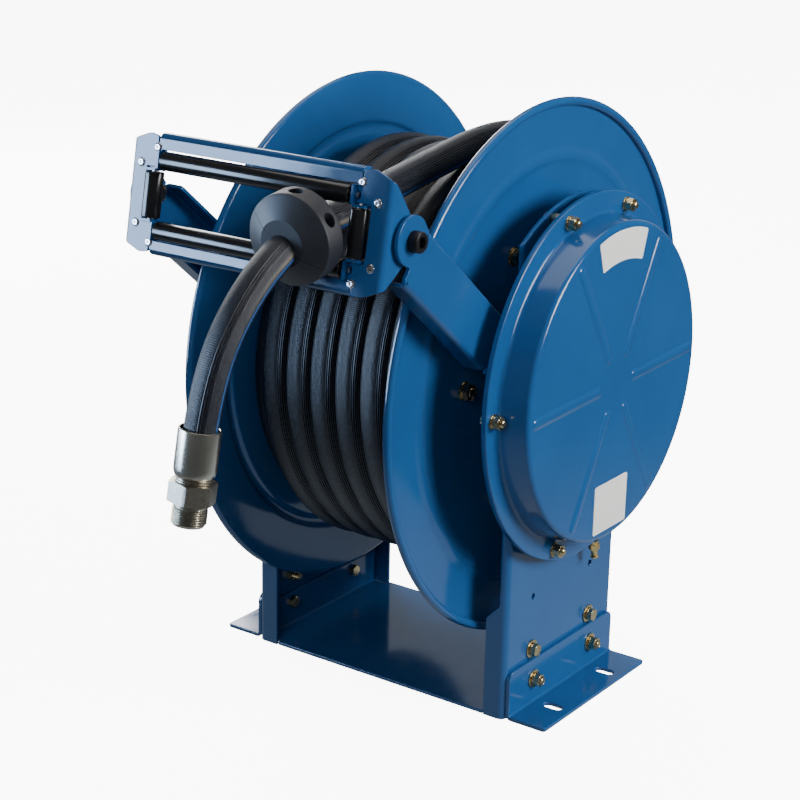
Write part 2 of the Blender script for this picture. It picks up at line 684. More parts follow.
def fold_guide(s, q, w):
    """flat blank to guide plate: lips and ears turned back"""
    sg = 1.0 if q > 0 else -1.0
    ss = 1.0 if s > 0 else -1.0
    if abs(s) > 152.2:
        a = (abs(s) - 152.2) / R5
        if a < pi / 2:
            x = 152.2 + (R5 + w) * sin(a)
            d = 1.5 + R5 - (R5 + w) * cos(a)
        else:
            x = 157.2 + w
            d = 6.5 + (abs(s) - 152.2 - ARC5)
        return gp(ss * x, TM + q, -d)
    if abs(s) < 124.6 and abs(q) > GB:
        a = (abs(q) - GB) / R5
        if a < pi / 2:
            t = GB + (R5 + w) * sin(a)
            d = 1.5 + R5 - (R5 + w) * cos(a)
        else:
            t = GB + R5 + w
            d = 6.5 + (abs(q) - GB - ARC5)
        return gp(s, TM + sg * t, -d)
    return gp(s, TM + q, -(1.5 - w))


SP_ = 152.2 + ARC5 + 34.1 - 6.5
ear_top, ear_bot = 48.2 - TM + 2.0, -47.0 - TM + 1.0
er = 16.5


def ear_tangent(px, pq, sgn):
    dx, dy = SP_ - px, -TM - pq
    L = hypot(dx, dy)
    a = atan2(dy, dx) + pi - sgn * np.arccos(er / L)
    return a


a_top = ear_tangent(162.0, ear_top, 1)
a_bot = ear_tangent(162.0, ear_bot, -1)
a0 = a_top % (2 * pi)
a1 = a_bot % (2 * pi)
if a0 > pi:
    a0 -= 2 * pi
if a1 > a0:
    a1 -= 2 * pi
arc_pts = [(SP_ + er * cos(a), -TM + er * sin(a)) for a in np.linspace(a0, a1, 26)]
LQ = GB + ARC5 + 6.5
right_side = rounded([(124.0, LQ), (124.0, 50.8), (125.3, 50.8), (125.3, 57.2), (137, 59.5), (152.2, 53.6), (162.0, ear_top)], [2.5, 0.3, 0.3, 3.0, 12, 12, 14], 5, closed=False) + arc_pts + \
    rounded([(162.0, ear_bot), (152.2, -53.6), (137, -59.5), (125.3, -57.2), (125.3, -50.8), (124.0, -50.8), (124.0, -LQ)], [14, 12, 12, 3.0, 0.3, 0.3, 2.5], 5, closed=False)
outer = right_side + [(-x, y) for x, y in reversed(right_side)]
W0 = 1.5 - TM

quad = [(137.5, 0.0), (137.5, 27.5), (120.3, 27.5), (120.3, 30), (124, 30), (124, 39), (120.3, 39), (120.3, 45)]
loop = quad[1:] + [(-x, y) for x, y in reversed(quad[1:])] + [(-x, -y) for x, y in quad[1:]] + [(x, -y) for x, y in reversed(quad[1:])]
loop = rounded([(x, y + W0) for x, y in loop], 1.1, 3)
RIV = [(sx * 144.5, 1.5 + st * 30.0) for sx in (-1, 1) for st in (-1, 1)] + [(sx * 125.0, 1.5 + st * 47.0) for sx in (-1, 1) for st in (-1, 1)]
cuts = [("s", s * (152.2 + ARC5 * k / 7)) for s in (-1, 1) for k in range(8)] + [("q", s * (GB + ARC5 * k / 7)) for s in (-1, 1) for k in range(8)]
v, f = sheet(outer, [loop, circle(SP_, -TM, 7.05), circle(-SP_, -TM, 7.05)], 3.0, 0.5, cuts, fold_guide)
gframe = finish_mesh("guide_plate", v, f, "blue", "guide", 35.0)
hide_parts("guide_frame")

bag = Bag()
for rx, rt in RIV:
    c = gp(rx, rt, 0.0)
    dome = [(-3.0, 2.6), (-0.02, 2.6), (-0.02, 4.6)] + [(1.75 * sin(t), 4.6 * cos(t) ** 0.8) for t in np.linspace(0.25, pi / 2 - 0.42, 7)] + [(1.35, 1.35), (0.4, 1.0), (0.3, 0.0), (-3.0, 0.0)]
    bag.lathe(dome, c, GN, 28)
    c2 = gp(rx, rt, -5.5)
    bag.lathe([(0, 0), (0, 4.0), (0.8, 3.9), (1.5, 3.2), (1.8, 1.8), (1.8, 0)], c2, -GN, 24)
riv = bag.make("guide_rivet_heads", "rivet", "guide", 40)
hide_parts("guide_rivets")


def turned(name, L, R, pin, c, axis, mat, body, n=56):
    """roller: rounded ends, a shallow ring round each pin"""
    h = L / 2
    half = [(h - 1.6, pin), (h - 1.6, pin + 1.6), (h - 0.2, pin + 2.2), (h, pin + 2.8), (h, R - 1.6), (h - 0.25, R - 0.8), (h - 0.8, R - 0.25), (h - 1.6, R)]
    prof = half + [(-x, r) for x, r in reversed(half)]
    b = Bag()
    b.lathe(prof, c, axis, n)
    return b.make(name, mat, body, 38)


for nm, cc, ax, L in (("top", gp(0, 36.0, 0), (1, 0, 0), 230.0), ("bottom", gp(0, -33.0, 0), (1, 0, 0), 230.0), ("left", gp(-126, 1.5, 0), tuple(GT), 46.0), ("right", gp(126, 1.5, 0), tuple(GT), 46.0)):
    o = turned("roller_" + nm + "_skin", L, 9.5, 3.05, cc, ax, "roller", "roller_" + nm)
    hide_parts("guide_roller_" + nm)

bag = Bag()
for t in (36.0, -33.0):
    bag.lathe([(0, 0), (0, 2.4), (0.6, 3.0), (245.4, 3.0), (246, 2.4), (246, 0)], gp(-123, t, 0), (1, 0, 0), 24)
for x in (-126, 126):
    bag.lathe([(0, 0), (0, 2.4), (0.6, 3.0), (54.0, 3.0), (54.6, 2.4), (54.6, 0)], gp(x, 1.5 - 27.3, 0), GT, 24)
o = bag.make("roller_pins", "steel", "guide", 35)
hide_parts("guide_roller_pins")

# pivot cap screws with knurled heads and hexagon sockets, spacers and nuts
def cap_screw(bag, c, axis, R, h, af, shank_r, shank_len):
    ax = np.array(axis, float)
    e1 = np.array((0, 0.6, 0.8)); e1 -= ax * (e1 @ ax); e1 /= np.linalg.norm(e1)
    e2 = np.cross(ax, e1)
    n = 96
    hexr = lambda a, k=1.0: af / 2 * k / cos((a % (pi / 3)) - pi / 6)
    lv = [lambda i, a: (0.0, R - 0.4), lambda i, a: (0.5, R - 0.30 * (i % 2)), lambda i, a: (h - 1.9, R - 0.30 * (i % 2)), lambda i, a: (h - 1.5, R - 0.25), lambda i, a: (h - 0.3, R - 0.8), lambda i, a: (h, R - 1.3),
          lambda i, a: (h, hexr(a, 1.06)), lambda i, a: (h - 0.4, hexr(a)), lambda i, a: (h - 5.5, hexr(a)), lambda i, a: (h - 6.2, 2.0)]
    v, f = [], []
    for g in lv:
        for i in range(n):
            a = 2 * pi * i / n
            x, r = g(i, a)
            v.append(np.array(c) + ax * x + (cos(a) * e1 + sin(a) * e2) * r)
    for k in range(len(lv) - 1):
        for i in range(n):
            j = (i + 1) % n
            f.append((k * n + i, k * n + j, (k + 1) * n + j, (k + 1) * n + i))
    f.append(tuple((len(lv) - 1) * n + i for i in range(n)))
    f.append(tuple(reversed(range(n))))
    bag.put(v, f)
    bag.shank(c, -ax, shank_r, shank_len, True, 1.6)


bag, bag2 = Bag(), Bag()
for s in (1, -1):
    cap_screw(bag, (s * 165.0, -293.8, 562.6), (s, 0, 0), 10.3, 10.5, 10.0, 6.9, 21.5)
    bag2.washer((s * 158.8, -293.8, 562.6), (s, 0, 0), 12.0, 7.05, 2.2)
    bag2.hexa((s * 155.4, -293.8, 562.6), (-s, 0, 0), 21.0, 8.0, 7.0)
o = bag.make("pivot_cap_screws", "black_screw", "stand", 28)
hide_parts("guide_pivot_screws")
o = bag2.make("pivot_nuts_and_spacers", "zinc", "stand", 30)
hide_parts("guide_pivot_nuts")

# ------------------------------------------------------------------ pedestals, arms, feet, base plate
BOLTS_ARM = ((236.0, 6.0), (272.0, -24.0), (222.0, -24.0))
AUv = (cos(radians(-39.7)), sin(radians(-39.7)))
AWv = (-AUv[1], AUv[0])


def arm_pt(u, w):
    return -293.8 + u * AUv[0] + w * AWv[0], 562.6 + u * AUv[1] + w * AWv[1]


R6, ARC6 = 6.0, 6.0 * pi / 2


def fold_ped(s, q, w):
    ss = 1.0 if s > 0 else -1.0
    if abs(s) <= 104.0:
        return (167.0 + w, s, q)
    a = (abs(s) - 104.0) / R6
    if a < pi / 2:
        return (161.0 + (R6 + w) * cos(a), ss * (104.0 + (R6 + w) * sin(a)), q)
    return (161.0 - (abs(s) - 104.0 - ARC6), ss * (110.0 + w), q)


ang = [atan2(sqrt(198 ** 2 - (y - AY) ** 2), y - AY) for y in (104.0, -104.0)]
head = [(AY + 198 * cos(a), AZ + 198 * sin(a)) for a in np.linspace(ang[0], ang[1], 44)]
F0 = 104.0 + ARC6
ped_out = rounded([(-131.4, 0), (131.4, 0), (131.4, 114), (F0 + 1.5, 131), (F0 + 1.5, 500), (109.5, 504), (109.5, 530)], [2.5, 2.5, 4, 6, 1.5, 3, 2], 4, closed=False)
ped_out = ped_out + head + rounded([(-109.5, 523.5), (-109.5, 326.5), (-F0 - 1.5, 326.5), (-F0 - 1.5, 131), (-131.4, 114), (-131.4, 0.0)], [2, 1.0, 1.0, 6, 4, 2], 4, closed=False)[:-1]
ped_holes = [circle(AY, AZ, 32.0, 64)] + [circle(y, z, 4.4, 24) for y in (-59.5, 59.5) for z in (32, 66)] + [circle(y, 127.7, 3.5, 24) for y in (-59.5, 59.5)] + [circle(*polar(46, 45 + 90 * k), 4.4, 24) for k in range(4)]
cuts = [("s", s * (104.0 + ARC6 * k / 8)) for s in (-1, 1) for k in range(9)]
for name, s in (("pedestal_spring_side", 1), ("pedestal_inlet_side", -1)):
    v, f = sheet(ped_out, ped_holes, 4.0, 0.6, cuts, fold_ped)
    if s < 0:
        v, f = mirror_x(v, f)
    o = finish_mesh(name + "_sheet", v, f, "blue", "stand", 35.0)
    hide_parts(name)

R4, ARC4 = 4.0, 4.0 * pi / 2


def fold_arm(s, q, w):
    def place(u, ww, x):
        y, z = arm_pt(u, ww)
        return (x, y, z)
    if 18.4 < s < 199.0:
        for lim, sg in ((15.4, 1.0), (-33.4, -1.0)):
            d = (q - lim) * sg
            if d > 0:
                a = d / R4
                if a < pi / 2:
                    return place(s, lim + sg * (R4 + w) * sin(a), 159.0 + (R4 + w) * cos(a))
                return place(s, lim + sg * (R4 + w), 159.0 - (d - ARC4))
    return place(s, q, 163.0 + w)


aa = np.linspace(radians(64), radians(296), 34)
arm_out = [(24.5 * cos(a), 24.5 * sin(a)) for a in aa]
arm_out += rounded([(13.2, -22.5), (13.2, -33.4), (16.5, -38.8), (17.5, -38.8), (17.5, -33.8), (19.2, -33.8), (19.2, -33.4 - ARC4 - 17.4), (197, -33.4 - ARC4 - 17.4), (197, -34.4), (201, -34.4), (201, -39.4), (292, -39.4), (292, 21.4), (201, 21.4), (201, 16.4), (197, 16.4), (197, 15.4 + ARC4 + 17.4), (19.2, 15.4 + ARC4 + 17.4), (19.2, 15.8), (17.2, 15.8), (17.2, 20.6)],
                    [1.5, 2, 2, 0.3, 0.5, 0.5, 3, 5, 0.8, 0.8, 3, 9, 9, 3, 0.8, 0.8, 5, 3, 0.4, 0.4, 1], 4, closed=False)
arm_holes = [circle(0, 0, 7.1, 32)] + [circle(u, w, 4.4, 20) for u, w in BOLTS_ARM]
cuts = [("q", 15.4 + ARC4 * k / 6) for k in range(7)] + [("q", -33.4 - ARC4 * k / 6) for k in range(7)]
for name, s in (("guide_arm_spring_side", 1), ("guide_arm_inlet_side", -1)):
    v, f = sheet(arm_out, arm_holes, 4.0, 0.6, cuts, fold_arm)
    if s < 0:
        v, f = mirror_x(v, f)
    o = finish_mesh(name + "_sheet", v, f, "blue", "stand", 35.0)
    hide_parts(name)

RF, ARCF = 4.75, 4.75 * pi / 2


def fold_foot(s, q, w):
    if s <= 48.0:
        return (171.25 - w, q, 55.0 - s)
    a = (s - 48.0) / RF
    if a < pi / 2:
        return (176.0 - (RF + w) * cos(a), q, 7.0 - (RF + w) * sin(a))
    return (176.0 + (s - 48.0 - ARCF), q, 2.25 - w)


SF = 48.0 + ARCF + 43.0
foot_out = rounded([(0, -108), (SF, -108), (SF, 108), (0, 108)], [10, 3.5, 3.5, 10], 6)
sx_ = 48.0 + ARCF + (197.5 - 176.0)
foot_holes = [slot_loop(sx_, y, 23.0, 12.0) for y in (-55.5, 55.5)] + [circle(23.0, y, 4.4, 24) for y in (-59.5, 59.5)]
cuts = [("s", 48.0 + ARCF * k / 7) for k in range(8)]
for name, s in (("foot_bracket_spring_side", 1), ("foot_bracket_inlet_side", -1)):
    v, f = sheet(foot_out, foot_holes, 4.5, 0.7, cuts, fold_foot)
    if s < 0:
        v, f = mirror_x(v, f)
    o = finish_mesh(name + "_sheet", v, f, "blue", "stand", 35.0)
    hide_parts(name)


def fold_base(s, q, w):
    ss = 1.0 if s > 0 else -1.0
    if abs(s) <= 158.0:
        return (s, q, 2.0 - w)
    a = (abs(s) - 158.0) / R5
    if a < pi / 2:
        return (ss * (158.0 + (R5 + w) * sin(a)), q, 7.0 - (R5 + w) * cos(a))
    return (ss * (163.0 + w), q, 7.0 + (abs(s) - 158.0 - ARC5))


SB = 158.0 + ARC5 + 37.0
base_out = rounded([(-SB, -103.6), (-142, -103.6), (-142, -111), (142, -111), (142, -103.6), (SB, -103.6), (SB, 103.6), (142, 103.6), (142, 111), (-142, 111), (-142, 103.6), (-SB, 103.6)], [6, 1, 2, 2, 1, 6, 6, 1, 2, 2, 1, 6], 4)
base_holes = [circle(s * (158 + ARC5 + 25.0), y, 4.4, 24) for s in (-1, 1) for y in (-59.5, 59.5)]
cuts = [("s", s * (158.0 + ARC5 * k / 7)) for s in (-1, 1) for k in range(8)]
v, f = sheet(base_out, base_holes, 4.0, 0.6, cuts, fold_base)
o = finish_mesh("base_plate_sheet", v, f, "blue", "stand", 35.0)
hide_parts("base_plate")

# ------------------------------------------------------------------ drum flanges: bead ring and curled rim
for name, xi, s in (("drum_flange_spring_side", 125.0, 1), ("drum_flange_inlet_side", -118.0, -1)):
    p = [(0, 34.0), (0, 218.5), (0.25, 220.6), (1.0, 222.3)] + [(1.6 + 2.3 * sin(t), 228 - 5.0 * cos(t)) for t in np.linspace(0.12, pi - 0.12, 9)] + [(1.0, 233.7), (0.25, 235.4), (0, 237.5), (0, 270.0)]
    p += [(4.6 + 4.6 * cos(t), 285.4 + 4.6 * sin(t)) for t in np.linspace(pi, -radians(112), 26)]
    p += [(2.5, 281.0), (2.5, 270.0), (2.5, 239.0), (2.75, 236.8), (3.2, 235.0)] + [(3.2 + 1.0 * sin(t), 228 - 5.6 * -cos(t)) for t in np.linspace(0.25, pi - 0.25, 9)] + [(3.2, 221.0), (2.75, 219.2), (2.5, 217.0), (2.5, 150.0), (2.5, 34.0)]
    prof = [(xi + s * a, r) for a, r in p]
    b = Bag()
    b.lathe(prof, (0, AY, AZ), (1, 0, 0), 200, ref=(0, 1, 0))
    o = b.make(name + "_pressing", "blue", "drum", 34)
    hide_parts(name)

# ------------------------------------------------------------------ spring case cover with six pressed ribs
b = Bag()
prof = [(181.3, 196.8), (181.3, 199.0), (181.7, 199.4), (185.6, 199.4)] + [(185.7 + 1.6 * sin(t), 197.8 + 1.6 * cos(t)) for t in np.linspace(0.2, pi / 2, 5)]
prof += [(187.3, 181.0)] + [(190.8 - 3.5 * cos(t), 179.5 - 3.5 * sin(t)) for t in np.linspace(0, pi / 2 - 0.1, 7)]
prof += [(200.0, 174.75), (214.0, 172.95)] + [(214.6 + 5.4 * sin(t), 167.5 + 5.4 * cos(t)) for t in np.linspace(0.1, pi / 2, 10)]
prof += [(220.0, 160.0), (220.0, 60.0), (220.0, 0.0), (217.5, 0.0), (217.5, 166.5), (215, 169.7), (184.3, 173.6), (184.3, 196.8)]
b.lathe(prof, (0, AY, AZ), (1, 0, 0), 200, ref=(0, 1, 0))
for k in range(6):
    a = radians(1.3 + 60 * k)
    d = np.array([0, cos(a), sin(a)])
    e = np.array([0, -sin(a), cos(a)])
    levels = [(7.2, -0.4), (7.2, 0.02), (6.4, 0.10), (5.6, 0.38), (4.8, 0.84), (4.0, 1.24), (3.0, 1.50), (1.8, 1.62), (0.5, 1.66)]
    n = 18
    v, f = [], []
    for w, h in levels:
        for side, cen in ((1, 98 + 61.5), (-1, 98 - 61.5)):
            for i in range(n):
                t = -pi / 2 + pi * i / (n - 1) + (0 if side > 0 else pi)
                v.append(np.array([220.0 + h, AY, AZ]) + d * (cen + w * cos(t)) + e * (w * sin(t)))
    m = 2 * n
    for q in range(len(levels) - 1):
        for i in range(m):
            j = (i + 1) % m
            f.append((q * m + i, q * m + j, (q + 1) * m + j, (q + 1) * m + i))
    f.append(tuple((len(levels) - 1) * m + i for i in range(m)))
    f.append(tuple(reversed(range(m))))
    b.put(v, f)
cover = b.make("spring_case_pressing", "blue", "stand", 34)
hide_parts("spring_case_cover")

# blank plates on the case face
b = Bag()


def patch(outline, x0, t):
    lp = rounded(outline, 3.0, 4)
    c = np.mean(np.array(lp), axis=0)
    v, f = [], []
    n = len(lp)
    rows = []
    for inset, h in ((0.0, 0.0), (0.0, t - 0.15), (0.2, t)):
        pts = []
        P_ = np.array(lp)
        for i in range(n):
            tng = P_[(i + 1) % n] - P_[i - 1]
            tng /= np.linalg.norm(tng)
            nn = np.array([-tng[1], tng[0]])
            if nn @ (c - P_[i]) < 0:
                nn = -nn
            pts.append(P_[i] + nn * inset)
        rows.append([(x0 + h, AY + y, AZ + z) for y, z in pts])
    for r_ in rows:
        v += r_
    for q in range(len(rows) - 1):
        for i in range(n):
            j = (i + 1) % n
            f.append((q * n + i, q * n + j, (q + 1) * n + j, (q + 1) * n + i))
    f.append(tuple((len(rows) - 1) * n + i for i in range(n)))
    f.append(tuple(reversed(range(n))))
    b.put(v, f)


mp = [(166 * cos(radians(a)), 166 * sin(radians(a))) for a in np.linspace(107.5, 72.5, 22)] + [(133 * cos(radians(a)), 133 * sin(radians(a))) for a in np.linspace(72.5, 107.5, 18)]
patch(mp, 219.95, 0.6)
patch([(-34, -135.5 - 27.5), (34, -135.5 - 27.5), (34, -135.5 + 27.5), (-34, -135.5 + 27.5)], 219.95, 0.6)
o = b.make("blank_case_plates", "plate", "stand", 4)
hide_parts("blank_plates")

# ------------------------------------------------------------------ fasteners
X1 = (1, 0, 0)
bz, bs = Bag(), Bag()
for k in range(6):
    yy, zz = polar(150.5, 56 + 60 * k)
    for xi, s in ((127.5, 1), (-120.5, -1)):
        bz.washer((xi, yy, zz), (s, 0, 0), 10.0, 5.2, 1.8)
        bz.hexa((xi + s * 1.8, yy, zz), (s, 0, 0), 16.0, 8.0, 5.0, 11 * k + 7, both=True)
        bs.shank((xi - s * 2, yy, zz), (s, 0, 0), 4.95, 13.0, True, 1.5)
    bs.lathe([(0, 0), (0, 4.9), (243, 4.9), (243, 0)], (-118, yy, zz), X1, 24)
o = bz.make("tie_nuts_and_washers", "zinc", "drum", 30)
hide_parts("tie_rod_nuts")
o = bs.make("tie_rods_threaded", "zinc", "drum", 30)
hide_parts("tie_rods")

b = Bag()
for xi, s in ((125.0, 1), (-118.0, -1)):
    for k in range(6):
        yy, zz = polar(50, 56 + 60 * k)
        b.hexa((xi + s * 2.5, yy, zz), (s, 0, 0), 13.0, 5.3, 0, 9 * k)
        b.shank((xi + s * 2.5, yy, zz), (-s, 0, 0), 3.95, 15.5, True)
        b.hexa((xi - s * 6.0, yy, zz), (-s, 0, 0), 13.0, 6.0, 4.0, 5)
o = b.make("hub_bolt_set", "zinc", "drum", 30)
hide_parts("drum_hub_bolts")

b = Bag()
for s in (1, -1):
    for u, w in BOLTS_ARM:
        yy, zz = arm_pt(u, w)
        b.hexa((s * 169.0, yy, zz), (s, 0, 0), 13.0, 5.3, 0, 14)
        b.shank((s * 169.0, yy, zz), (-s, 0, 0), 3.95, 18.5, True)
        b.hexa((s * 161.0, yy, zz), (-s, 0, 0), 13.0, 6.5, 4.0, 3, both=True)
o = b.make("arm_bolt_set", "zinc", "stand", 30)
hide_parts("arm_bolts")

b, b2 = Bag(), Bag()
for s in (1, -1):
    for i, y in enumerate((-59.5, 59.5)):
        b2.washer((s * 169.0, y, 66), (s, 0, 0), 10.5, 4.25, 1.6)
        b2.washer((s * 170.6, y, 66), (s, 0, 0), 7.25, 4.25, 2.0)
        b.hexa((s * 172.6, y, 66), (s, 0, 0), 13.0, 5.3, 0, 12 * i + 4)
        b.shank((s * 172.6, y, 66), (-s, 0, 0), 3.95, 23.6, True)
        b2.hexa((s * 165.0, y, 66), (-s, 0, 0), 13.0, 6.5, 4.0, 7, both=True)
        b.hexa((s * 161.0, y, 32), (-s, 0, 0), 13.0, 5.3, 0, 5)
        b.shank((s * 161.0, y, 32), (s, 0, 0), 3.95, 25.0, True)
        b2.washer((s * 173.5, y, 32), (s, 0, 0), 10.5, 4.25, 1.6)
        b2.washer((s * 175.1, y, 32), (s, 0, 0), 7.25, 4.25, 2.0)
        b2.hexa((s * 177.1, y, 32), (s, 0, 0), 13.0, 6.5, 4.0, 18 * i + 3, both=True)
o = b.make("pedestal_bolt_set", "zinc", "stand", 30)
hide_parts("pedestal_bolts")
o = b2.make("pedestal_nut_set", "zinc", "stand", 30)
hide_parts("pedestal_nuts")

b = Bag()
for s in (1, -1):
    for k in range(4):
        yy, zz = polar(46, 45 + 90 * k)
        b.hexa((s * 169.0, yy, zz), (s, 0, 0), 13.0, 5.3, 0, 10 * k)
        b.shank((s * 169.0, yy, zz), (-s, 0, 0), 3.95, 18.5, True)
        b.hexa((s * 157.0, yy, zz), (-s, 0, 0), 13.0, 6.0, 4.0, 4 + 13 * k, both=True)
o = b.make("bearing_bolt_set", "zinc", "stand", 30)
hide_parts("bearing_housing_bolts")

b, b2, b3 = Bag(), Bag(), Bag()
for a in (0.0, 72.0, 108.0, 180.0, 252.0, 288.0):
    yy, zz = polar(187.0, a)
    through = abs(yy) < 102
    x0 = 165.0 if through else 181.3
    b.hexa((x0, yy, zz), (-1, 0, 0), 13.0, 5.3, 0, a)
    b.shank((x0, yy, zz), (1, 0, 0), 3.95, 201.0 - x0, True)
    b2.washer((187.3, yy, zz), X1, 7.8, 4.25, 1.7)
    b2.washer((189.0, yy, zz), X1, 6.8, 4.25, 2.0)
    b2.hexa((191.0, yy, zz), X1, 13.0, 6.5, 4.0, a + 9, both=True)
    if through:
        b3.lathe(rounded([(0, 4.3), (0, 8.0), (12.3, 8.0), (12.3, 4.3)], 0.6, 3), (169.0, yy, zz), X1, 40)
o = b.make("case_bolt_set", "zinc", "stand", 30)
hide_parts("spring_case_bolts")
o = b2.make("case_nut_set", "zinc", "stand", 30)
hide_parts("spring_case_nuts")
o = b3.make("case_spacer_set", "zinc", "stand", 30)
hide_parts("spring_case_spacers")

# brass nipple on the case rim
na = radians(279.5)
nd = (0, cos(na), sin(na))
nb = np.array([184.3, AY + 199.4 * nd[1], AZ + 199.4 * nd[2]])
b = Bag()
b.lathe([(0, 0), (0, 5.2), (3.6, 5.2), (4.0, 4.8), (4.0, 0)], nb, nd, 28)
b.hexa(tuple(nb + np.array(nd) * 4.0), nd, 11.0, 7.0, 0, 20)
b.lathe([(11, 0), (11, 3.6), (17.5, 3.6), (18.4, 3.2), (19.0, 4.0), (19.6, 4.6), (21.2, 4.6), (22.0, 3.6), (22.0, 1.2), (21.2, 0.9), (21.0, 0)], nb, nd, 28)
o = b.make("brass_nipple", "brass", "stand", 30)
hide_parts("case_nipple")

# ------------------------------------------------------------------ ball stop, ferrule, threaded end
BR = np.array([80.4, -349.1, 568.2])
BZ = np.array([0.06, -0.9925, -0.122]); BZ /= np.linalg.norm(BZ)
BX = np.array([-0.839, 0, 0.545]); BX -= BZ * (BX @ BZ); BX /= np.linalg.norm(BX)
BY = np.cross(BZ, BX)
bprof = [(14.2, -1.2), (19.5, -1.5), (40.0, -0.1)] + rounded([(40.0, -0.1), (44.5, 0.6), (44.5, 24.0), (23.0, 36.0), (8.0, 36.0)], [0, 2.0, 2.2, 2.5, 0], 6, closed=False)[1:]


def half_ball(name, side):
    n = 72
    m = len(bprof)
    v, f = [], []
    gap = 0.18
    for i in range(n + 1):
        a = pi * i / n
        for r, z in bprof:
            x, y = r * cos(a), r * sin(a)
            y = max(y, gap)
            p = BR + BX * x + BY * (y * side) + BZ * z
            v.append(p)
    for i in range(n):
        for k in range(m - 1):
            f.append((i * m + k, i * m + k + 1, (i + 1) * m + k + 1, (i + 1) * m + k))
        f.append((i * m + m - 1, i * m, (i + 1) * m, (i + 1) * m + m - 1))
    f.append(tuple(range(m)))
    f.append(tuple(reversed([n * m + k for k in range(m)])))
    o = finish_mesh(name, v, f, "ball", None, 36)
    # screw pockets
    cutter = Bag()
    for sx in (-1, 1):
        c = BR + BX * (sx * 21) + BY * (side * 17.5) + BZ * 12.5
        cutter.lathe([(0, 0), (0, 6.0), (0.4, 6.4), (40, 6.4), (40, 0)], c, BY * side, 40)
    co = cutter.make(name + "_cutter", "ball", None, 36)
    md = o.modifiers.new("pockets", "BOOLEAN")
    md.object, md.operation, md.solver = co, "DIFFERENCE", "EXACT"
    bpy.context.view_layer.update()
    me = bpy.data.meshes.new_from_object(o.evaluated_get(bpy.context.evaluated_depsgraph_get()))
    o.modifiers.clear()
    old = o.data
    o.data = me
    bpy.data.meshes.remove(old)
    bpy.data.objects.remove(co)
    shade(me, 36)
    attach(o, "guide")
    return o


ha = half_ball("ball_half_a_skin", 1)
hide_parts("ball_stop_half_a")
hb = half_ball("ball_half_b_skin", -1)
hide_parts("ball_stop_half_b")
b = Bag()
for sx in (-1, 1):
    c = BR + BX * (sx * 21) + BZ * 12.5
    b.lathe([(0, 0), (0, 3.1), (44, 3.1), (44, 0)], c - BY * 22, BY, 24)
    b.lathe(rounded([(0, 0), (0, 5.2), (4.6, 5.2), (4.6, 2.4), (2.0, 2.4), (2.0, 0)], [0, 0.3, 0.5, 0.2, 0.2, 0], 3), c + BY * 18.0, BY, 32)
    b.hexa(tuple(c - BY * 18.0), -BY, 10.0, 4.6, 0, 0)
bscrew = b.make("ball_screw_set", "grey_steel", "guide", 30)
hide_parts("ball_stop_screws")

fa = np.array([67.0, -489.0, 371.0]) - np.array([72.0, -479.0, 449.5]); fa /= np.linalg.norm(fa)
FT = np.array([67.0, -489.0, 371.0]) - fa * 40.5
b = Bag()
fp = [(0.4, 17.9), (0, 18.4), (0.1, 19.3), (0.7, 19.9), (1.8, 20.0), (36.0, 20.0)] + [(36.0 + 9.0 * sin(t), 17.0 + 3.0 * cos(t)) for t in np.linspace(0.25, pi / 2, 8)] + [(45.5, 16.6), (45.5, 14.0), (40.5, 14.0), (40.5, 16.05), (9.0, 16.05), (7.0, 17.6)]
b.lathe(fp, FT, fa, 72)
fer = b.make("ferrule_turned", "nickel", "guide", 30)
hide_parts("hose_ferrule")
b = Bag()
b.lathe([(40.6, 11.5), (40.6, 13.9), (45.5, 13.9), (45.6, 16.2), (46.2, 17.2), (46.9, 17.2), (47.4, 16.2), (47.8, 16.2), (48.3, 17.4), (49.0, 17.5), (49.5, 16.8), (49.5, 11.5)], FT, fa, 64)
ax = fa
e1 = np.array((0.31, 0.2, 0.93)); e1 -= ax * (e1 @ ax); e1 /= np.linalg.norm(e1)
b.hexa(tuple(FT + fa * 49.5), fa, 41.0, 20.0, 11.6, 24, both=True)
b.lathe([(69.4, 11.5), (69.4, 15.2), (73.4, 15.2), (73.4, 11.5)], FT, fa, 64)
# pipe thread: a real helix
e2 = np.cross(ax, e1)
n, pitch = 64, 2.309
turns = int((91.5 - 73.2) / pitch)
v, f = [], []
rows = 8 * turns + 1
for j in range(rows):
    for i in range(n):
        z = 73.2 + pitch * j / 8 + 0.001
        ph = ((z - 73.2) / pitch - i / n) % 1.0
        tri = 1 - abs(2 * ph - 1)
        r = 15.25 + 1.35 * min(1.0, max(0.0, (tri - 0.12) / 0.72))
        end = min(1.0, (z - 73.2) / 1.5, (91.5 - z) / 1.6)
        r = 15.2 + (r - 15.2) * max(0.0, end)
        a = 2 * pi * i / n
        v.append(FT + ax * z + (cos(a) * e1 + sin(a) * e2) * r)
for j in range(rows - 1):
    for i in range(n):
        k = (i + 1) % n
        f.append((j * n + i, j * n + k, (j + 1) * n + k, (j + 1) * n + i))
base_n = len(v)
for z, r in ((91.5, 14.6), (91.5, 12.2), (90.9, 11.5), (73.0, 11.5)):
    for i in range(n):
        a = 2 * pi * i / n
        v.append(FT + ax * z + (cos(a) * e1 + sin(a) * e2) * r)
rings = [rows - 1] + [rows + q for q in range(4)] + [0]
for q in range(len(rings) - 1):
    for i in range(n):
        k = (i + 1) % n
        f.append((rings[q] * n + i, rings[q] * n + k, rings[q + 1] * n + k, rings[q + 1] * n + i))
b.put(v, f)
fit = b.make("threaded_end", "cast_brass", "guide", 26)
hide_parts("hose_fitting")

[tuple(p) for p in P[:split + 1]]
tuple(P[split])
[tuple(p) for p in P[split:]]

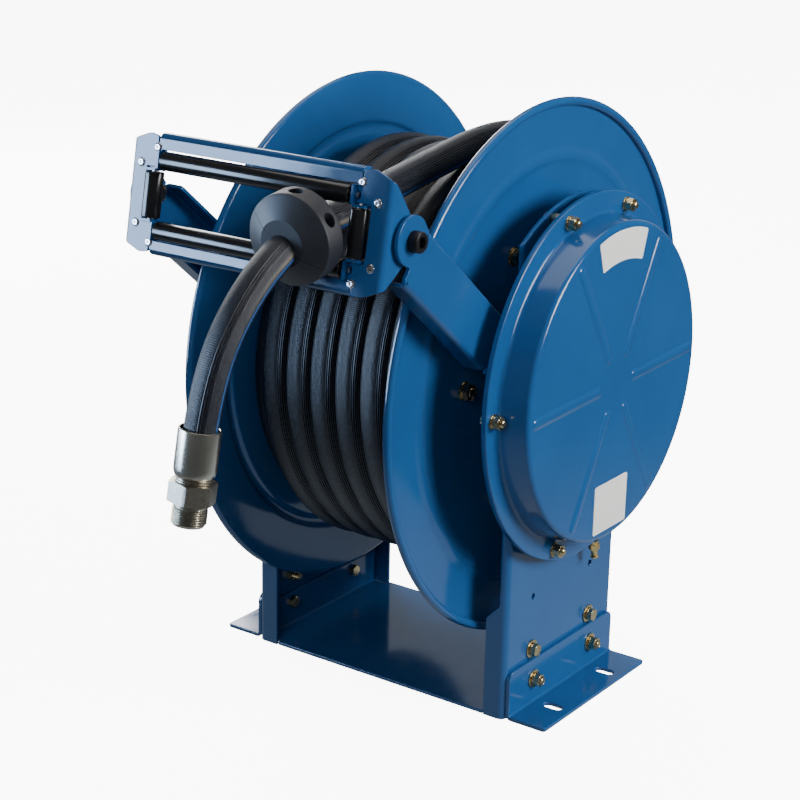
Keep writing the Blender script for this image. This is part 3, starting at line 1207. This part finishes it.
# ------------------------------------------------------------------ finishes on the pieces that keep their CAD shape
FINISH = {
    "bearing_housing_spring_side": "iron", "bearing_housing_inlet_side": "iron", "bearing_bush_spring_side": "bronze", "bearing_bush_inlet_side": "bronze",
    "drum_core": "blue", "drum_hub_spring_side": "zinc", "drum_hub_inlet_side": "zinc", "main_shaft": "steel", "shaft_circlips": "spring", "spring_arbor": "steel",
    "outlet_branch": "zinc", "ratchet_ring": "zinc", "spring_case_back": "blue", "power_spring": "spring", "spring_anchor_pin": "steel", "inlet_swivel_body": "zinc",
    "swivel_seal": "seal", "pawl": "zinc", "pawl_pin": "steel", "pawl_spring": "spring", "guide_corner_brackets": "blue",
}
for name, key in FINISH.items():
    o = frame["nodes"][name]
    o = o if hasattr(o, "data") else bpy.data.objects[o if isinstance(o, str) else name]
    for i in range(max(1, len(o.material_slots))):
        if not o.material_slots:
            o.data.materials.append(MAT[key])
        else:
            o.material_slots[i].material = MAT[key]
    w = o.modifiers.new("weld", "WELD")
    w.merge_threshold = 0.00001
    bv = o.modifiers.new("bevel", "BEVEL")
    bv.width, bv.segments, bv.limit_method, bv.angle_limit = 0.0004, 2, "ANGLE", radians(40)
    bv.use_clamp_overlap = True
    bv.harden_normals = False

for o in list(coll.all_objects):
    if o.type == "MESH" and (o.name.endswith("_sheet") or o.name == "guide_plate" or o.name in FINISH):
        wn = o.modifiers.new("normals", "WEIGHTED_NORMAL")
        wn.keep_sharp, wn.weight, wn.mode = True, 60, "FACE_AREA"

# ------------------------------------------------------------------ floor and lights
def quad_mesh(name, pts, mat):
    me = bpy.data.meshes.new(name)
    me.from_pydata(pts, [], [tuple(range(len(pts)))])
    me.materials.append(mat)
    o = bpy.data.objects.new(name, me)
    coll.objects.link(o)
    return o


fm, nt, fb = nodes_of("pale_floor")
fb.inputs["Base Color"].default_value = (0.90, 0.90, 0.90, 1)
fb.inputs["Roughness"].default_value = 0.75
fb.inputs["Specular IOR Level"].default_value = 0.2
fb.inputs["Emission Color"].default_value = (1, 1, 1, 1)
fb.inputs["Emission Strength"].default_value = 9.0
floor = quad_mesh("floor", [(-14, -6, 0), (14, -6, 0), (14, 22, 0), (-14, 22, 0)], fm)
floor.visible_diffuse = False
floor.visible_glossy = False

# what the gloss paint sees of the floor: a pool of light round the reel, fading outwards
gm, nt, gb = nodes_of("floor_sheen")
gb.inputs["Base Color"].default_value = (0, 0, 0, 1)
gb.inputs["Roughness"].default_value = 1.0
gb.inputs["Specular IOR Level"].default_value = 0.0
gb.inputs["Emission Color"].default_value = (0.80, 0.90, 1.0, 1)
ln = add(nt, "ShaderNodeVectorMath", operation="LENGTH")
nt.links.new(coords(nt), ln.inputs[0])
pool = add(nt, "ShaderNodeMapRange", interpolation_type="SMOOTHSTEP")
pool.inputs["From Min"].default_value, pool.inputs["From Max"].default_value = 0.25, 1.15
pool.inputs["To Min"].default_value, pool.inputs["To Max"].default_value = 0.62, 0.10
nt.links.new(ln.outputs["Value"], pool.inputs["Value"])
nt.links.new(pool.outputs[0], gb.inputs["Emission Strength"])
sheen_floor = quad_mesh("floor_sheen", [(-6, -6, 0), (6, -6, 0), (6, 6, 0), (-6, 6, 0)], gm)
sheen_floor.visible_camera = False
sheen_floor.visible_diffuse = False
sheen_floor.visible_shadow = False

world = bpy.data.worlds.new("studio")
scene.world = world
world.use_nodes = True
bg = world.node_tree.nodes["Background"]
bg.inputs[0].default_value = (1, 1, 1, 1)
bg.inputs[1].default_value = 0.12


def area(name, loc, target, size, power, color=(1, 1, 1)):
    l = bpy.data.lights.new(name, "AREA")
    l.shape, l.size, l.size_y = "RECTANGLE", size[0], size[1]
    l.energy, l.color = power, color
    o = bpy.data.objects.new(name, l)
    coll.objects.link(o)
    d = (Vector(target) - Vector(loc)).normalized()
    o.matrix_world = Matrix.Translation(loc) @ d.to_track_quat("-Z", "Y").to_matrix().to_4x4()
    return o


area("key", (2.6, 0.55, 1.3), (0.15, 0.0, 0.35), (1.2, 1.2), 96.0)
area("top", (-0.3, 0.5, 3.0), (0.0, 0.1, 0.2), (2.4, 2.4), 38.0, (1.0, 0.97, 0.92))
fl = area("front_left", (-1.95, -2.05, 0.62), (-0.15, -0.3, 0.55), (1.1, 1.5), 128.0, (0.47, 0.67, 1.0))
fl.visible_diffuse = False
area("far_side", (-2.6, 1.5, 1.5), (-0.1, 0.1, 0.3), (1.8, 1.5), 88.0)
ll = area("left", (-2.5, -1.05, 0.45), (0.0, -0.2, 0.4), (0.8, 1.2), 46.0, (0.6, 0.76, 1.0))
ll.visible_diffuse = False
cs = area("camera_side", (1.0, -3.2, 1.9), (0.0, 0.0, 0.35), (1.6, 1.2), 38.0, (0.85, 0.93, 1.0))
cs.visible_glossy = False
bl = area("back", (-1.8, 3.2, 1.1), (-0.1, 0.0, 0.3), (3.0, 2.0), 10.0, (0.85, 0.93, 1.0))
bl.visible_diffuse = False
bl.visible_camera = False

bpy.context.view_layer.update()
